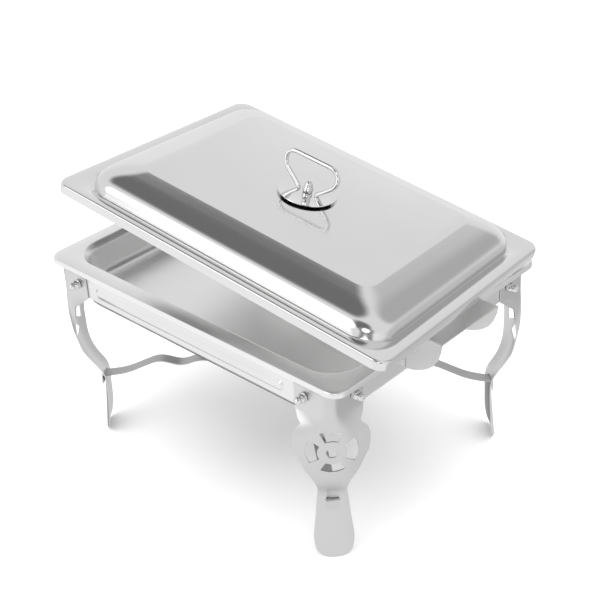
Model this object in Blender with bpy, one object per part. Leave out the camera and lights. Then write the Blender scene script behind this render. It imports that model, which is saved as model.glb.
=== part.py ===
"""Half-size chafing dish: sheet-metal stand, water pan, food pan and wire-handled lid.

Frame: X runs along the long side, Y along the short side, Z is up, and the feet stand on Z = 0.
The lid is modelled level on the food pan and carried open by the empty on its tilt axis.
"""
import math

import bmesh
import bpy
from mathutils import Vector
from mathutils.geometry import delaunay_2d_cdt

MM = 0.001
GAP = 0.3 * MM              # clearance between pieces that touch

# Stand
HALF_X = 153.4 * MM         # outer faces of the legs on the short sides
HALF_Y = 121.5 * MM         # outer faces of the legs on the long sides
LEG_SHEET = 1.0 * MM
RAIL_SHEET = 1.0 * MM
RAIL_BOTTOM = 147.0 * MM
RAIL_TOP = 172.3 * MM
BOLT_Z = 158.0 * MM
BOLT_FROM_CORNER = 25.4 * MM
BOLT_HOLE = 2.3 * MM
BOLT_RADIUS = 1.95 * MM
WHEEL_Z = 116.2 * MM        # middle of the wheel cut into each leg
HUB_HOLE = 4.5 * MM
WINDOW_INNER = 10.9 * MM    # the wheel's four windows lie between these two radii
WINDOW_OUTER = 19.8 * MM
SLOT_Z = 55.4 * MM          # middle of the brace slot in each leg
BRACE_WIDTH = 10.0 * MM
BRACE_SHEET = 1.2 * MM
BRACE_LEVEL = 73.0 * MM
HANDLE_HALF = 35.0 * MM     # middle of each ear of an end handle
HANDLE_TOP = 182.0 * MM
HANDLE_SHEET = 1.0 * MM

# Pans
PAN_SHEET = 0.8 * MM
RIM_TOP = 174.5 * MM
FOOD_FLOOR = 144.9 * MM
WATER_FLOOR = 133.9 * MM

# Lid, level on the food pan's flange
LID_SHEET = 0.8 * MM
LID_LIP = 7.6 * MM
LID_BASE = RIM_TOP + GAP + LID_LIP
LID_RISE = 18.8 * MM        # top of the raised box above the flange
TILT_AXIS = Vector((-0.3736, 0.7986, 0.4719)).normalized()
TILT_POINT = Vector((198.46, 128.97, 121.31)) * MM
TILT_OPEN = math.radians(13.935)


def clear_scene():
    for obj in list(bpy.data.objects):
        bpy.data.objects.remove(obj, do_unlink=True)


def steel(name, colour, roughness):
    mat = bpy.data.materials.new(name)
    mat.use_nodes = True
    shader = mat.node_tree.nodes["Principled BSDF"]
    shader.inputs["Base Color"].default_value = (*colour, 1.0)
    shader.inputs["Metallic"].default_value = 1.0
    shader.inputs["Roughness"].default_value = roughness
    mat.diffuse_color = (*colour, 1.0)
    return mat


def add_object(name, bm, material, parent=None, sharp=35.0):
    """Turn a closed bmesh into a named object with its normals facing out."""
    bmesh.ops.recalc_face_normals(bm, faces=bm.faces)
    mesh = bpy.data.meshes.new(name)
    bm.to_mesh(mesh)
    bm.free()
    mesh.shade_smooth()
    mesh.set_sharp_from_angle(angle=math.radians(sharp))
    mesh.materials.append(material)
    obj = bpy.data.objects.new(name, mesh)
    bpy.context.scene.collection.objects.link(obj)
    if parent:
        obj.parent = parent
        obj.location = -parent.location
    return obj


# ---------------------------------------------------------------- round and layered shapes

def rounded_rect(half_x, half_y, radius, z, steps=8):
    """A rectangle with round corners at height z, anticlockwise."""
    loop = []
    for quarter, (sx, sy) in enumerate(((1, 1), (-1, 1), (-1, -1), (1, -1))):
        for i in range(steps + 1):
            a = math.pi / 2 * (quarter + i / steps)
            loop.append(Vector((sx * (half_x - radius) + radius * math.cos(a),
                                sy * (half_y - radius) + radius * math.sin(a), z)))
    return loop


def skin(loops, ring=False):
    """Join loops of equal length; the ends are capped, or joined to each other in a ring."""
    bm = bmesh.new()
    rows = [[bm.verts.new(p) for p in loop] for loop in loops]
    pairs = list(zip(rows, rows[1:]))
    if ring:
        pairs.append((rows[-1], rows[0]))
    for low, high in pairs:
        for i in range(len(low)):
            j = (i + 1) % len(low)
            bm.faces.new((low[i], low[j], high[j], high[i]))
    if not ring:
        bm.faces.new(rows[0])
        bm.faces.new(rows[-1])
    return bm


def soften(points, fillets, steps=3):
    """Round each inner corner of a profile, starting the bend a fillet's length away."""
    out = [points[0]]
    for a, b, c, size in zip(points, points[1:], points[2:], fillets):
        start = b + (a - b) * (size / (a - b).length)
        end = b + (c - b) * (size / (c - b).length)
        for i in range(steps + 1):
            t = i / steps
            out.append(start * (1 - t) ** 2 + b * (2 * t * (1 - t)) + end * t ** 2)
    return out + [points[-1]]


def sheet_faces(profile, thickness):
    """The two faces of pressed sheet whose middle rows are (half x, half y, radius, z)."""
    upper, lower = [], []
    for i, p in enumerate(profile):
        a, b = profile[max(i - 1, 0)], profile[min(i + 1, len(profile) - 1)]
        run, rise = (b[0] - a[0]) + (b[1] - a[1]), 2 * (b[3] - a[3])
        off = Vector((-rise, -rise, -rise, run)) / math.hypot(run, rise) * (thickness / 2)
        upper.append(rounded_rect(*(p + off)))
        lower.append(rounded_rect(*(p - off)))
    return upper, lower


def rows_mm(*rows):
    return [Vector(row) * MM for row in rows]


def turned(rows, count):
    """Loops of a turned piece; a row is (radius, z), or (across flats, z, "hex")."""
    loops = []
    for row in rows:
        loop = []
        for i in range(count):
            a = 2 * math.pi * i / count
            r = row[0]
            if len(row) == 3:
                r = row[0] / 2 / math.cos((a + math.pi / 6) % (math.pi / 3) - math.pi / 6)
            loop.append(Vector((r * math.cos(a), r * math.sin(a), row[1])))
        loops.append(loop)
    return loops


def aim(loops, origin, axis):
    """Carry loops from their own Z axis to an origin and axis in the scene."""
    turn = Vector((0, 0, 1)).rotation_difference(axis).to_matrix()
    return [[origin + turn @ p for p in loop] for loop in loops]


# ---------------------------------------------------------------- cut and bent sheet

def inside(point, polygon):
    hit = False
    for a, b in zip(polygon, polygon[1:] + polygon[:1]):
        if (a[1] > point[1]) != (b[1] > point[1]):
            if point[0] < (b[0] - a[0]) * (point[1] - a[1]) / (b[1] - a[1]) + a[0]:
                hit = not hit
    return hit


def edge_distance(point, polygon):
    best = 1.0
    for a, b in zip(polygon, polygon[1:] + polygon[:1]):
        dx, dy = b[0] - a[0], b[1] - a[1]
        t = ((point[0] - a[0]) * dx + (point[1] - a[1]) * dy) / max(dx * dx + dy * dy, 1e-12)
        t = max(0.0, min(1.0, t))
        best = min(best, math.hypot(point[0] - a[0] - t * dx, point[1] - a[1] - t * dy))
    return best


def spread(start, stop, step):
    n = max(1, round((stop - start) / step))
    return [start + (stop - start) * i / n for i in range(n + 1)]


def divide(polygon, step):
    """The same closed outline with no side much longer than one step."""
    out = []
    for a, b in zip(polygon, polygon[1:] + polygon[:1]):
        n = max(1, round(math.dist(a, b) / step))
        out += [(a[0] + (b[0] - a[0]) * i / n, a[1] + (b[1] - a[1]) * i / n) for i in range(n)]
    return out


def cut_sheet(lines, hole_count, place, thickness, columns, rows, clear):
    """Sheet metal cut to a flat outline with holes and bent in space by place(u, v).

    The lines are the outline, then the holes, then creases kept as edges. The flat blank is
    triangulated with extra points where the columns and rows cross, its points are carried to
    the middle of the bent sheet, and the two faces lie half the thickness to either side.
    """
    rim, holes = lines[0], lines[1:1 + hole_count]
    points, edges = [], []
    for line in lines:
        first = len(points)
        points += line
        edges += [(first + i, first + (i + 1) % len(line)) for i in range(len(line))]
    for u in columns:
        for v in rows:
            if inside((u, v), rim) and not any(inside((u, v), h) for h in holes):
                if min(edge_distance((u, v), line) for line in lines) > clear:
                    points.append((u, v))
    flat = delaunay_2d_cdt([Vector(p) for p in points], edges, [], 0, 1e-7)
    verts, faces = flat[0], flat[2]
    bm = bmesh.new()
    upper, lower = [], []
    h = 0.05 * MM
    for v in verts:
        across = place(v.x + h, v.y) - place(v.x - h, v.y)
        along = place(v.x, v.y + h) - place(v.x, v.y - h)
        off = across.cross(along).normalized() * (thickness / 2)
        upper.append(bm.verts.new(place(v.x, v.y) + off))
        lower.append(bm.verts.new(place(v.x, v.y) - off))
    border = set()
    for face in faces:
        middle = sum((verts[i] for i in face), Vector((0, 0))) / len(face)
        if not inside(middle, rim) or any(inside(middle, hole) for hole in holes):
            continue
        bm.faces.new([upper[i] for i in face])
        bm.faces.new([lower[i] for i in reversed(face)])
        for a, b in zip(face, face[1:] + face[:1]):
            if (b, a) in border:
                border.remove((b, a))
            else:
                border.add((a, b))
    for a, b in sorted(border):
        bm.faces.new((upper[b], upper[a], lower[a], lower[b]))
    bmesh.ops.delete(bm, geom=[v for v in bm.verts if not v.link_faces], context="VERTS")
    return bm


def smooth_curve(points, x):
    """A smooth curve through (x, y) points given in rising x."""
    for i in range(len(points) - 1):
        (x0, y0), (x1, y1) = points[i], points[i + 1]
        if x <= x1:
            before, after = points[max(i - 1, 0)], points[min(i + 2, len(points) - 1)]
            m0 = (y1 - before[1]) / (x1 - before[0])
            m1 = (after[1] - y0) / (after[0] - x0)
            w = x1 - x0
            t = max(0.0, (x - x0) / w)
            return (y0 * (2 * t ** 3 - 3 * t ** 2 + 1) + m0 * w * (t ** 3 - 2 * t ** 2 + t)
                    + y1 * (3 * t ** 2 - 2 * t ** 3) + m1 * w * (t ** 3 - t ** 2))
    return points[-1][1]


def round_hole(u, v, radius, count=10):
    return [(u + radius * math.cos(2 * math.pi * i / count),
             v + radius * math.sin(2 * math.pi * i / count)) for i in range(count)]


def wheel_window(inner, outer, middle_deg, half_deg, steps=5):
    """A window of the leg's wheel: between two circles, open either side of its middle."""
    turns = [math.radians(middle_deg + half_deg * (2 * i / steps - 1)) for i in range(steps + 1)]
    window = [(outer * math.cos(a), WHEEL_Z + outer * math.sin(a)) for a in turns]
    return window + [(inner * math.cos(a), WHEEL_Z + inner * math.sin(a)) for a in turns[::-1]]


# ---------------------------------------------------------------- legs

# Height and half width of the leg, height and set-in of its middle line, in mm.
LEG_WIDTH = ((7, 14.3), (16, 15.8), (38, 13.7), (56, 12.0), (66, 11.2), (72, 11.3), (83, 14.2),
             (95, 19.9), (105.5, 23.9), (115, 27.7), (124.5, 28.9), (132, 27.5), (137.8, 21.6))
LEG_INSET = ((0, 22.0), (27, 24.5), (50, 26.2), (60, 25.3), (67, 21.9), (77, 15.6), (90, 9.4),
             (100, 6.8), (112, 4.6), (128, 3.6), (147, 4.43), (166.5, 4.43))
# Height, half angle in degrees and corner radius in mm of the leg's bent section.
LEG_BEND = ((0, 26, 40), (70, 18, 40), (115, 19, 40), (131, 24, 34), (147, 45, 9), (166.5, 45, 9))


def leg_section(c, z):
    """How far the bent sheet falls back from its middle line, at chord c and height z."""
    for (z0, a0, r0), (z1, a1, r1) in zip(LEG_BEND, LEG_BEND[1:]):
        if z <= z1 * MM:
            break
    t = max(0.0, min(1.0, (z / MM - z0) / (z1 - z0)))
    angle, radius = math.radians(a0 + (a1 - a0) * t), (r0 + (r1 - r0) * t) * MM
    arc = radius * math.sin(angle)
    if abs(c) < arc:
        return radius - math.sqrt(radius * radius - c * c)
    return radius * (1 - math.cos(angle)) + (abs(c) - arc) * math.tan(angle)


def leg_outline():
    """One leg's flat outline: rounded toe, waist, bulge round the wheel, notch and square top."""
    side = [(14.3 * math.sin(a), 7 - 7 * math.cos(a)) for a in (0.35, 0.7, 1.05, 1.35)]
    side += [(smooth_curve(LEG_WIDTH, z), z) for z in spread(7, 137.8, 5)]
    side += [(23.4, 141.0), (24.4, 144.5), (24.75, 147.0), (24.75, 166.5)]
    full = [(0.0, 0.0)] + side + [(-w, z) for w, z in side[::-1]]
    return [(w * MM, z * MM) for w, z in full]


def leg_middle(sx, sy):
    out = Vector((sx, sy, 0)).normalized()
    side = Vector((-out.y, out.x, 0))
    corner = Vector((sx * HALF_X, sy * HALF_Y, 0))

    def place(c, z):
        inset = smooth_curve(LEG_INSET, z / MM) * MM + leg_section(c, z)
        return corner + side * c - out * inset + Vector((0, 0, z))

    return place


def build_leg(name, sx, sy, material):
    bolt = (BOLT_FROM_CORNER - LEG_SHEET / 2) / math.sqrt(2)
    low, high, wide = SLOT_Z - 1.5 * MM, SLOT_Z + 1.5 * MM, BRACE_WIDTH / 2 + 0.7 * MM
    bore = round_hole(0, BOLT_Z, BOLT_HOLE)
    holes = [[(s * bolt + u / math.sqrt(2), v) for u, v in bore] for s in (-1, 1)]
    holes.append(round_hole(0, WHEEL_Z, HUB_HOLE, 14))
    holes.append(divide([(-wide, low), (wide, low), (wide, high), (-wide, high)], 3.5 * MM))
    for middle, half in ((90, 27), (0, 34), (270, 27), (180, 34)):
        holes.append(wheel_window(WINDOW_INNER, WINDOW_OUTER, middle, half))
    columns = [s * c * MM for s in (-1, 1) for c in (0.0, 2.2, 4.3, 6.4, 9.5, 14.0, 20.0, 25.5)][1:]
    rows = spread(3.5 * MM, 166.5 * MM, 5.5 * MM)
    lines = [divide(leg_outline(), 6 * MM)] + holes
    bm = cut_sheet(lines, len(holes), leg_middle(sx, sy), LEG_SHEET, columns, rows, 1.6 * MM)
    return add_object(name, bm, material, sharp=50)


# ---------------------------------------------------------------- rails and end handles

BEAD_Z = 156.5 * MM
BEAD_HALF = 5.0 * MM
BEAD_FLANK = 2.2 * MM
BEAD_RISE = 1.7 * MM


def bead_line(half_length, reach, steps=5):
    """A closed line at one reach from the middle line of a round-ended bead."""
    line = []
    for sign, start in ((1, -90), (-1, 90)):
        for i in range(steps + 1):
            a = math.radians(start + 180 * i / steps)
            line.append((sign * (half_length - BEAD_HALF) + reach * math.cos(a),
                         BEAD_Z + reach * math.sin(a)))
    return divide(line, 24 * MM)


def build_rail(name, along_x, sign, bead, tabs, material):
    """A flat rail with one stamped bead; its ends stand behind the legs' wings."""
    length, across = (HALF_X, HALF_Y) if along_x else (HALF_Y, HALF_X)
    middle = across - LEG_SHEET - GAP - RAIL_SHEET / 2
    half = length - 12.0 * MM

    def place(u, v):
        near = max(0.0, abs(u) - (bead - BEAD_HALF))
        depth = BEAD_HALF - math.hypot(near, v - BEAD_Z)
        out = sign * (middle + BEAD_RISE * max(0.0, min(1.0, depth / BEAD_FLANK)))
        return Vector((u, out, v)) if along_x else Vector((out, u, v))

    corner = [(half - 6 * MM * (1 - math.sin(a)), RAIL_BOTTOM + 6 * MM * (1 - math.cos(a)))
              for a in (0, math.pi / 6, math.pi / 3, math.pi / 2)]
    outline = corner + [(half, RAIL_TOP), (-half, RAIL_TOP)]
    outline += [(-u, v) for u, v in corner[::-1]]
    holes = [round_hole(s * (length - BOLT_FROM_CORNER), BOLT_Z, BOLT_HOLE) for s in (-1, 1)]
    for u in tabs:
        holes.append([(u - 0.8 * MM, 149.4 * MM), (u + 0.8 * MM, 149.4 * MM),
                      (u + 0.8 * MM, 160.2 * MM), (u - 0.8 * MM, 160.2 * MM)])
    creases = [bead_line(bead, BEAD_HALF), bead_line(bead, BEAD_HALF - BEAD_FLANK)]
    bm = cut_sheet([divide(outline, 24 * MM)] + holes + creases, len(holes), place, RAIL_SHEET,
                   [], [], 0.0)
    return add_object(name, bm, material, sharp=50)


def build_end_handle(name, sign, material):
    """One bent sheet: a level grip plate with an ear turned down at each end."""
    bend = 2.0 * MM
    flat = HANDLE_HALF - bend
    arc = bend * math.pi / 2
    ear = ((166.5, 179.5), (165.9, 175.0), (163.8, 169.1), (159.6, 164.7), (154.8, 162.5),
           (152.4, 162.1), (152.4, 159.9), (150.5, 159.9), (150.5, 149.7), (152.4, 149.7),
           (152.4, 148.0), (159.5, 148.9), (165.6, 151.2), (172.2, 154.9), (177.6, 159.5),
           (181.8, 166.0), (184.2, 173.0), (185.5, 179.5))
    below = HANDLE_TOP - HANDLE_SHEET / 2 - bend
    half = [((168.0 - 1.5 * t) * MM, flat + arc * t) for t in (0.0, 0.33, 0.67)]
    half += [(x * MM, flat + arc + below - z * MM) for x, z in ear]
    half += [((186.0 - 0.5 * t) * MM, flat + arc * t) for t in (0.67, 0.33, 0.0)]
    outline = half + [(u, -w) for u, w in half[::-1]]

    def place(u, w):
        over = abs(w) - flat
        turn = max(0.0, min(over / bend, math.pi / 2))
        y = abs(w) if over < 0 else flat + bend * math.sin(turn)
        z = below + bend * math.cos(turn) - max(0.0, over - arc)
        return Vector((sign * u, math.copysign(y, w), z))

    columns = [x * MM for x in (171.5, 177, 182.5)]
    rows = [s * (flat + arc * t) for s in (-1, 1) for t in (0.0, 0.33, 0.67, 1.0)]
    bm = cut_sheet([divide(outline, 12 * MM)], 0, place, HANDLE_SHEET, columns, rows, 0.8 * MM)
    return add_object(name, bm, material, sharp=50)


# ---------------------------------------------------------------- braces under the burner

def build_brace(name, sx, sy, lift, material):
    """A flat strip between opposite legs, its two ends hooked down outside the slots."""
    inset = smooth_curve(LEG_INSET, SLOT_Z / MM) * MM
    foot = Vector((sx * HALF_X, sy * HALF_Y, 0)) - Vector((sx, sy, 0)).normalized() * inset
    reach, heading = foot.length, foot.normalized()
    side = Vector((-heading.y, heading.x, 0))
    hook = reach + LEG_SHEET / 2 + 0.8 * MM + BRACE_SHEET / 2
    half = [Vector((0.0, BRACE_LEVEL + lift)), Vector((84 * MM, BRACE_LEVEL + lift)),
            Vector((99 * MM, 67.0 * MM)), Vector((119 * MM, 72.5 * MM)),
            Vector((150 * MM, SLOT_Z + 2.6 * MM)), Vector((reach - 4 * MM, SLOT_Z)),
            Vector((hook, SLOT_Z)), Vector((hook, SLOT_Z - 9 * MM))]
    half = soften(half, [5 * MM, 6 * MM, 7 * MM, 8 * MM, 1.5 * MM, 1.3 * MM])
    line = [Vector((-p.x, p.y)) for p in half[:0:-1]] + half[1:]
    loops = []
    for i, p in enumerate(line):
        along = (line[min(i + 1, len(line) - 1)] - line[max(i - 1, 0)]).normalized()
        normal = Vector((-along.y, along.x)) * (BRACE_SHEET / 2)
        loop = []
        for w, s in ((-1, -1), (1, -1), (1, 1), (-1, 1)):
            q = p + normal * s
            loop.append(heading * q.x + side * (w * BRACE_WIDTH / 2) + Vector((0, 0, q.y)))
        loops.append(loop)
    return add_object(name, skin(loops), material, sharp=25)


# ---------------------------------------------------------------- pans and lid

def build_food_pan(material):
    floor, rim = FOOD_FLOOR / MM, (RIM_TOP - PAN_SHEET / 2) / MM
    rows = rows_mm((131, 93, 20, floor), (141.2, 103.5, 24, floor), (146.8, 107.6, 26, rim - 5),
                   (149.8, 111, 28, rim), (162.1, 124.1, 12, rim), (162.1, 124.1, 12, 169.7))
    upper, lower = sheet_faces(soften(rows, [7 * MM, 1.5 * MM, 1.4 * MM, 1.6 * MM]), PAN_SHEET)
    return add_object("food_pan", skin(upper + lower[::-1]), material)


def build_water_pan(material):
    floor, rim = WATER_FLOOR / MM, (RIM_TOP - 1.5 * PAN_SHEET - GAP) / MM
    rows = rows_mm((134, 102, 20, floor), (143.0, 111.5, 24, floor), (150.2, 117.0, 26, rim),
                   (155.6, 122.3, 13, rim))
    upper, lower = sheet_faces(soften(rows, [6 * MM, 2 * MM]), PAN_SHEET)
    return add_object("water_pan", skin(upper + lower[::-1]), material)


def build_lid(material, parent):
    """Raised box with soft sides, a groove round its foot, a flange and a turned-down lip."""
    base, top = LID_BASE / MM, (LID_BASE + LID_RISE - LID_SHEET / 2) / MM
    rows = rows_mm((60, 32, 6, top), (107.5, 74.2, 11, top))
    edge, crest, knee, foot = rows_mm((108.4, 75.1, 12, top - 0.2), (120.0, 86.0, 15, top - 3.6),
                                      (138.4, 102.7, 24, top - 5.6), (139.0, 103.3, 25, base - 0.6))
    for i in range(10):
        t = i / 9
        rows.append(edge * (1 - t) ** 3 + crest * (3 * t * (1 - t) ** 2)
                    + knee * (3 * t * t * (1 - t)) + foot * t ** 3)
    rows += rows_mm((139.4, 103.9, 25, base - 1.5), (141.6, 106.2, 24, base - 1.5))
    lip = rows_mm((142.8, 107.4, 23, base - 0.4), (153.6, 116.6, 10.5, base - 0.4),
                  (153.6, 116.6, 10.5, base - LID_LIP / MM))
    rows += soften(lip, [1.8 * MM])
    upper, lower = sheet_faces(rows, LID_SHEET)
    bore = [(BOLT_HOLE, LID_BASE + LID_RISE), (BOLT_HOLE, LID_BASE + LID_RISE - LID_SHEET)]
    bore = turned(bore, len(upper[0]))
    bm = skin([bore[0]] + upper + lower[::-1] + [bore[1]], ring=True)
    return add_object("lid", bm, material, parent, sharp=30)


def build_lid_handle(material, parent):
    """Wire bail: two feet on the disc, arms leaning out, round shoulders and a level grip."""
    base = Vector((0, LID_BASE / MM))
    half = [Vector(p) + base for p in ((0, 49.2), (24.0, 49.2), (24.9, 36.0), (9.0, 21.9),
                                       (9.0, 20.6))]
    half = soften(half, [9.0, 6.0, 0.8], 6)
    line = [Vector((-p.x, 0, p.y)) for p in half[:0:-1]] + [Vector((p.x, 0, p.y)) for p in half[1:]]
    loops = []
    for i, p in enumerate(line):
        along = (line[min(i + 1, len(line) - 1)] - line[max(i - 1, 0)]).normalized()
        normal = Vector((-along.z, 0, along.x))
        loop = []
        for j in range(12):
            a = 2 * math.pi * j / 12
            spoke = normal * math.cos(a) + Vector((0, 1, 0)) * math.sin(a)
            loop.append((p + spoke * 1.9) * MM)
        loops.append(loop)
    return add_object("lid_handle", skin(loops), material, parent, sharp=60)


def build_disc(material, parent):
    """Dished round plate under the wire handle, bored for its screw."""
    z = LID_BASE + LID_RISE + GAP
    rows = [(BOLT_HOLE, z), (BOLT_HOLE, z + 1.2 * MM), (13.0 * MM, z + 1.2 * MM),
            (17.0 * MM, z + 1.3 * MM), (23.6 * MM, z + 2.2 * MM), (23.8 * MM, z + 1.6 * MM),
            (17.2 * MM, z + 0.4 * MM), (13.0 * MM, z)]
    return add_object("lid_handle_disc", skin(turned(rows, 32), ring=True), material, parent)


def build_nut(name, origin, axis, material, parent=None):
    """A domed cap nut; its loops run from the end of the blind bore out and over the top."""
    flats = 7.8 * MM
    rows = [(BOLT_RADIUS + GAP, 4.4 * MM), (BOLT_RADIUS + GAP, 0.0), (flats - 0.7 * MM, 0.0, "hex"),
            (flats, 0.5 * MM, "hex"), (flats, 3.6 * MM, "hex"), (flats - 0.9 * MM, 4.4 * MM, "hex")]
    rows += [(3.3 * MM * math.cos(a), (5.9 + 3.4 * math.sin(a)) * MM)
             for a in (-0.25, 0.0, 0.45, 0.9, 1.35)]
    return add_object(name, skin(aim(turned(rows, 18), origin, axis)), material, parent)


def build_screw(name, origin, axis, shank, material, parent=None):
    """Pan-head screw: its head seats at the origin and the shank runs along the axis."""
    head = 3.6 * MM
    rows = [(head * math.cos(a), -1.2 * MM * math.sin(a) - 0.4 * MM) for a in (1.3, 0.7, 0.0)]
    rows += [(head, 0.0), (BOLT_RADIUS, 0.0), (BOLT_RADIUS, shank)]
    return add_object(name, skin(aim(turned(rows, 12), origin, axis)), material, parent)


def build_fasteners(metal):
    """A screw from inside and a cap nut outside at each end of each rail."""
    for sx, x_name in ((-1, "left"), (1, "right")):
        for sy, y_name in ((-1, "front"), (1, "back")):
            for along_x in (True, False):
                out = Vector((0, sy, 0)) if along_x else Vector((sx, 0, 0))
                seat = Vector((sx * HALF_X, sy * HALF_Y, BOLT_Z))
                seat -= Vector((sx, 0, 0) if along_x else (0, sy, 0)) * BOLT_FROM_CORNER
                tag = f"{y_name}_{x_name}_{'long' if along_x else 'short'}"
                build_nut(f"cap_nut_{tag}", seat + out * GAP, out, metal)
                head = seat - out * (LEG_SHEET + GAP + RAIL_SHEET + GAP)
                build_screw(f"screw_{tag}", head, out, 6.2 * MM, metal)


def build_stand(satin, chrome):
    for sx, sy, name in ((-1, -1, "leg_front_left"), (1, -1, "leg_front_right"),
                         (-1, 1, "leg_back_left"), (1, 1, "leg_back_right")):
        build_leg(name, sx, sy, satin)
    build_rail("long_rail_front", True, -1, 107 * MM, (), satin)
    build_rail("long_rail_back", True, 1, 107 * MM, (), satin)
    ears = (-HANDLE_HALF, HANDLE_HALF)
    build_rail("short_rail_left", False, -1, 28 * MM, ears, satin)
    build_rail("short_rail_right", False, 1, 28 * MM, ears, satin)
    build_end_handle("end_handle_left", -1, satin)
    build_end_handle("end_handle_right", 1, satin)
    build_brace("brace_lower", 1, 1, 0.0, satin)
    build_brace("brace_upper", 1, -1, BRACE_SHEET + GAP, satin)
    build_fasteners(chrome)


def build_lid_group(brushed, polished, chrome):
    """The lid and its handle hang on the empty, which is then turned to the open pose."""
    tilt = bpy.data.objects.new("lid_tilt_axis", None)
    tilt.location = TILT_POINT
    bpy.context.scene.collection.objects.link(tilt)
    build_lid(brushed, tilt)
    build_disc(polished, tilt)
    build_lid_handle(chrome, tilt)
    up = Vector((0, 0, 1))
    top = Vector((0, 0, LID_BASE + LID_RISE))
    build_nut("lid_handle_cap_nut", top + up * (1.2 * MM + 2 * GAP), up, chrome, tilt)
    build_screw("lid_handle_screw", top - up * (LID_SHEET + GAP), up, 6.2 * MM, chrome, tilt)
    tilt.rotation_mode = "QUATERNION"
    tilt.rotation_quaternion = (math.cos(TILT_OPEN / 2), *(TILT_AXIS * math.sin(TILT_OPEN / 2)))


def main():
    clear_scene()
    brushed = steel("brushed_stainless", (0.62, 0.62, 0.61), 0.32)
    satin = steel("satin_stainless", (0.60, 0.60, 0.60), 0.36)
    polished = steel("polished_stainless", (0.68, 0.68, 0.67), 0.12)
    chrome = steel("chrome_plate", (0.78, 0.78, 0.79), 0.06)
    build_stand(satin, chrome)
    build_water_pan(brushed)
    build_food_pan(polished)
    build_lid_group(brushed, polished, chrome)


main()
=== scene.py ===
"""Chafing dish with its lid held open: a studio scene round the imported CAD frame."""
import math

import bpy
from mathutils import Matrix, Vector

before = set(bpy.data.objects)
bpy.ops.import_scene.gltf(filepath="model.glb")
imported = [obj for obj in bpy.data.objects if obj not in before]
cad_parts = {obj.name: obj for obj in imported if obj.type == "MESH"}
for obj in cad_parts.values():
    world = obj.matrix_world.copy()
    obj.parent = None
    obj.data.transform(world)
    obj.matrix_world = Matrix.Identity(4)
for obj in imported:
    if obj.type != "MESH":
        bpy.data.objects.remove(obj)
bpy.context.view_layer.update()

# Steel
GRAIN_SCALE = 1100.0
CLOUD_SCALE = 14.0
CLOUD_SPREAD = 0.015        # how far the tone strays either way
GRAIN_DEPTH = 0.0002
ALONG_X, ALONG_Y, ALONG_Z = (0.02, 1, 1), (1, 0.03, 1), (1, 1, 0.03)
LEVEL = (0.03, 0.03, 1)
EVEN = (1, 1, 1)
LID_TWIST = math.radians(-6.1)      # the raised lid's turn about Z
# Painted reflection: beyond this distance from the origin a brace's grey is painted lighter
HOOK_FROM, HOOK_TO = 0.1772, 0.1782     # from the origin to where a brace's hooked ends begin

# Camera
AZIMUTH, ELEVATION, ROLL = math.radians(44.155), math.radians(31.36), math.radians(-2.979)
TARGET = Vector((-0.0029, 0.0143, 0.1245))
DISTANCE = 1.0974
LENS, SENSOR = 76.8, 36.0

# Studio
AROUND = 0.80               # brightness of the world where no panel covers it
PANELS = (                  # direction, cosine at the outer and inner edge, brightness
    ((0.0, 0.0, -1.0), 0.05, 0.55, 0.86),           # table top
    ((0.60, -0.60, -0.45), 0.55, 0.85, 0.92),       # bright table in front
    ((-0.65, 0.65, -0.35), 0.55, 0.85, 0.88),       # table behind the dish
    ((-0.60, -0.62, -0.50), 0.72, 0.92, 0.98),      # bright table on the left
    ((0.60, 0.62, -0.48), 0.70, 0.92, 0.58),        # shaded table on the right
    ((-0.60, 0.35, -0.72), 0.86, 0.95, 0.20),       # shade under the far edge
    ((-0.25, 0.08, 0.96), 0.86, 0.955, 0.17),       # ceiling
    ((0.35, 0.78, 0.55), 0.86, 0.97, 0.46),         # grey wall behind, to the right
    ((0.45, -0.62, 0.72), 0.88, 0.96, 0.16),        # dark gap over the camera
    ((-0.25, -0.82, 0.50), 0.90, 0.955, 1.6),       # window on the left
    ((0.60, -0.62, 0.28), 0.89, 0.96, 0.26),        # dark gap round the camera
    ((0.58, -0.62, 0.33), 0.972, 0.988, 2.2))       # lamp by the camera
FLOOR_SIZE, FLOOR_DROP = 40.0, 0.0004
LAMP_HEIGHT, LAMP_SIZE, LAMP_WATTS = 3.0, 6.0, 260.0


# ---------------------------------------------------------------- materials

class Graph:
    """A node tree with short calls for the nodes used here."""

    def __init__(self, owner):
        owner.use_nodes = True
        self.tree = owner.node_tree
        self.shader = self.tree.nodes.get("Principled BSDF")

    def add(self, kind, **inputs):
        node = self.tree.nodes.new("ShaderNode" + kind)
        for name, value in inputs.items():
            self.feed(node.inputs[name.replace("_", " ")], value)
        return node

    def feed(self, socket, value):
        if isinstance(value, bpy.types.NodeSocket):
            self.tree.links.new(value, socket)
        else:
            socket.default_value = value

    def noise(self, scale, stretch=(1, 1, 1), turn=(0, 0, 0), detail=2.0):
        """Noise in the piece's own space; a small stretch factor draws it out along that axis."""
        place = self.add("TexCoord").outputs["Object"]
        mapping = self.add("Mapping", Vector=place, Scale=stretch, Rotation=turn)
        return self.add("TexNoise", Vector=mapping.outputs["Vector"], Scale=scale,
                        Detail=detail).outputs["Fac"]

    def between(self, source, low, high, start=0.3, end=0.7):
        """Map a value between two numbers, or between two greys or colours."""
        if isinstance(low, float):
            node = self.add("MapRange", Value=source, From_Min=start, From_Max=end, To_Min=low,
                            To_Max=high)
            return node.outputs["Result"]
        share = self.add("MapRange", Value=source, From_Min=start, From_Max=end).outputs["Result"]
        node = self.add("MixRGB", Fac=share, Color1=(*low, 1), Color2=(*high, 1))
        return node.outputs["Color"]


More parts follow.
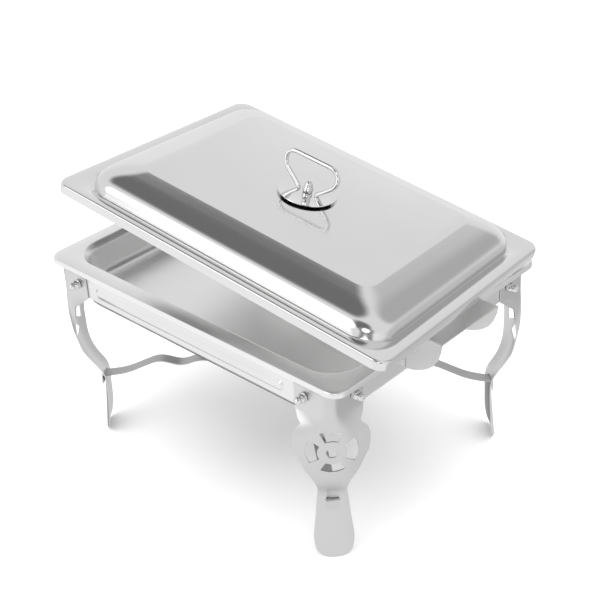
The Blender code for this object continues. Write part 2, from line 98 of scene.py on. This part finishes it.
def steel(name, shade, rough, grain_way, turn=(0, 0, 0), grain=0.02, change=0.05, tint=0.997,
          hook_painted_light=None):
    """Stainless with a fine grain: streaks in gloss and height, broad faint cloudiness in tone.

    A hook value is a lighter grey painted onto a brace's two hooked ends: a painted reflection.
    """
    material = bpy.data.materials.new(name)
    g = Graph(material)
    fine = g.noise(GRAIN_SCALE, grain_way, turn, 3.0)
    broad = g.noise(CLOUD_SCALE)
    g.feed(g.shader.inputs["Metallic"], 1.0)
    g.feed(g.shader.inputs["Roughness"], g.between(fine, rough - change / 2, rough + change / 2))
    low, high = shade - CLOUD_SPREAD, shade + CLOUD_SPREAD
    tone = g.between(broad, (low, low, low * tint), (high, high, high * tint))
    # Painted reflection: blend the hooked ends to the lighter painted grey
    if hook_painted_light:
        reach = g.add("VectorMath")
        reach.operation = "LENGTH"
        g.feed(reach.inputs[0], g.add("TexCoord").outputs["Object"])
        end = g.between(reach.outputs["Value"], 0.0, 1.0, HOOK_FROM, HOOK_TO)
        tone = g.add("MixRGB", Fac=end, Color1=tone, Color2=(hook_painted_light, hook_painted_light, hook_painted_light * tint, 1.0))
        tone = tone.outputs["Color"]
    g.feed(g.shader.inputs["Base Color"], tone)
    bump = g.add("Bump", Strength=grain, Distance=GRAIN_DEPTH, Height=fine)
    g.feed(g.shader.inputs["Normal"], bump.outputs["Normal"])
    return material


def dress(names, material):
    for name in names:
        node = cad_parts[name]
        node.data.materials.clear()
        node.data.materials.append(material)


def shade_nodes(sharp=38.0):
    """Weld the frame's split vertices and shade round faces smooth, up to a sharp angle."""
    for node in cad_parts.values():
        weld = node.modifiers.new("weld", "WELD")
        weld.merge_threshold = 0.00001
        node.data.shade_smooth()
        edges = node.modifiers.new("edges", "EDGE_SPLIT")
        edges.split_angle = math.radians(sharp)


def build_materials():
    names = list(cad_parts)
    dress(["lid"], steel("lid_brushed", 0.83, 0.12, ALONG_X, (0, 0, LID_TWIST), grain=0.015,
                         change=0.04))
    dress([n for n in names if n.startswith("leg_")], steel("stand_satin", 0.71, 0.32, ALONG_Z))
    # Braces: their grey is painted darker as painted shade, standing in for the dark surroundings
    # they reflect; their hooked ends are painted lighter as a painted reflection
    dress([n for n in names if n.startswith("brace_")],
          steel("brace_painted_reflection", 0.46, 0.28, (0.1, 0.1, 0.1), grain=0.0, change=0.0, hook_painted_light=0.68))
    dress([n for n in names if n.startswith("end_handle")],
          steel("handle_satin", 0.80, 0.42, ALONG_Y))
    dress([n for n in names if "_rail_" in n], steel("rail_satin", 0.86, 0.22, LEVEL))
    dress(["food_pan"], steel("food_pan_polished", 0.93, 0.30, ALONG_X, grain=0.006, change=0.02))
    dress(["water_pan"], steel("water_pan_brushed", 0.74, 0.22, ALONG_X))
    dress(["lid_handle_disc"], steel("disc_polished", 0.86, 0.06, EVEN, grain=0.004, change=0.02))
    plated = [n for n in names if n.startswith(("cap_nut", "screw_"))]
    plated += ["lid_handle", "lid_handle_cap_nut", "lid_handle_screw"]
    dress(plated, steel("chrome", 0.82, 0.05, EVEN, grain=0.002, change=0.02, tint=1.0))


# ---------------------------------------------------------------- studio

def build_camera():
    data = bpy.data.cameras.new("camera")
    data.sensor_width = SENSOR
    data.lens = LENS
    camera = bpy.data.objects.new("camera", data)
    back = Vector((math.sin(AZIMUTH) * math.cos(ELEVATION),
                   -math.cos(AZIMUTH) * math.cos(ELEVATION), math.sin(ELEVATION)))
    right = Vector((0, 0, 1)).cross(back).normalized()
    up = back.cross(right)
    across = right * math.cos(ROLL) + up * math.sin(ROLL)
    above = up * math.cos(ROLL) - right * math.sin(ROLL)
    turn = Matrix((across, above, back)).transposed().to_4x4()
    camera.matrix_world = Matrix.Translation(TARGET + back * DISTANCE) @ turn
    bpy.context.scene.collection.objects.link(camera)
    bpy.context.scene.camera = camera


def build_world():
    """A studio as the steel sees it: pale all round, with soft dark and bright panels."""
    world = bpy.data.worlds.new("studio")
    bpy.context.scene.world = world
    g = Graph(world)
    heading = g.add("TexCoord").outputs["Generated"]
    level = g.add("Value").outputs["Value"]
    level.default_value = AROUND
    for direction, outer, inner, value in PANELS:
        unit = Vector(direction).normalized()
        dot = g.add("VectorMath")
        dot.operation = "DOT_PRODUCT"
        g.feed(dot.inputs[0], heading)
        g.feed(dot.inputs[1], unit)
        mask = g.add("MapRange", Value=dot.outputs["Value"], From_Min=outer, From_Max=inner)
        mask.interpolation_type = "SMOOTHSTEP"
        mix = g.add("MapRange", Value=mask.outputs["Result"], To_Min=level, To_Max=value)
        level = mix.outputs["Result"]
    background = g.tree.nodes["Background"]
    g.feed(background.inputs["Color"], (1.0, 1.0, 1.0, 1.0))
    g.feed(background.inputs["Strength"], level)


def build_floor():
    bpy.ops.mesh.primitive_plane_add(size=FLOOR_SIZE, location=(0, 0, -FLOOR_DROP))
    floor = bpy.context.object
    floor.name = "floor"
    material = bpy.data.materials.new("pale_floor")
    g = Graph(material)
    g.feed(g.shader.inputs["Base Color"], (0.93, 0.93, 0.93, 1.0))
    g.feed(g.shader.inputs["Roughness"], 0.9)
    g.feed(g.shader.inputs["Specular IOR Level"], 0.0)
    floor.data.materials.append(material)
    floor.visible_glossy = False


def build_overhead():
    """A wide soft light over the dish that lights the floor and isn't seen in the steel."""
    data = bpy.data.lights.new("overhead", "AREA")
    data.size = LAMP_SIZE
    data.energy = LAMP_WATTS
    light = bpy.data.objects.new("overhead", data)
    light.location = (0.0, 0.0, LAMP_HEIGHT)
    light.visible_camera = False
    light.visible_glossy = False
    bpy.context.scene.collection.objects.link(light)


bpy.context.scene.view_settings.view_transform = "Standard"
shade_nodes()
build_materials()
build_camera()
build_world()
build_floor()
build_overhead()
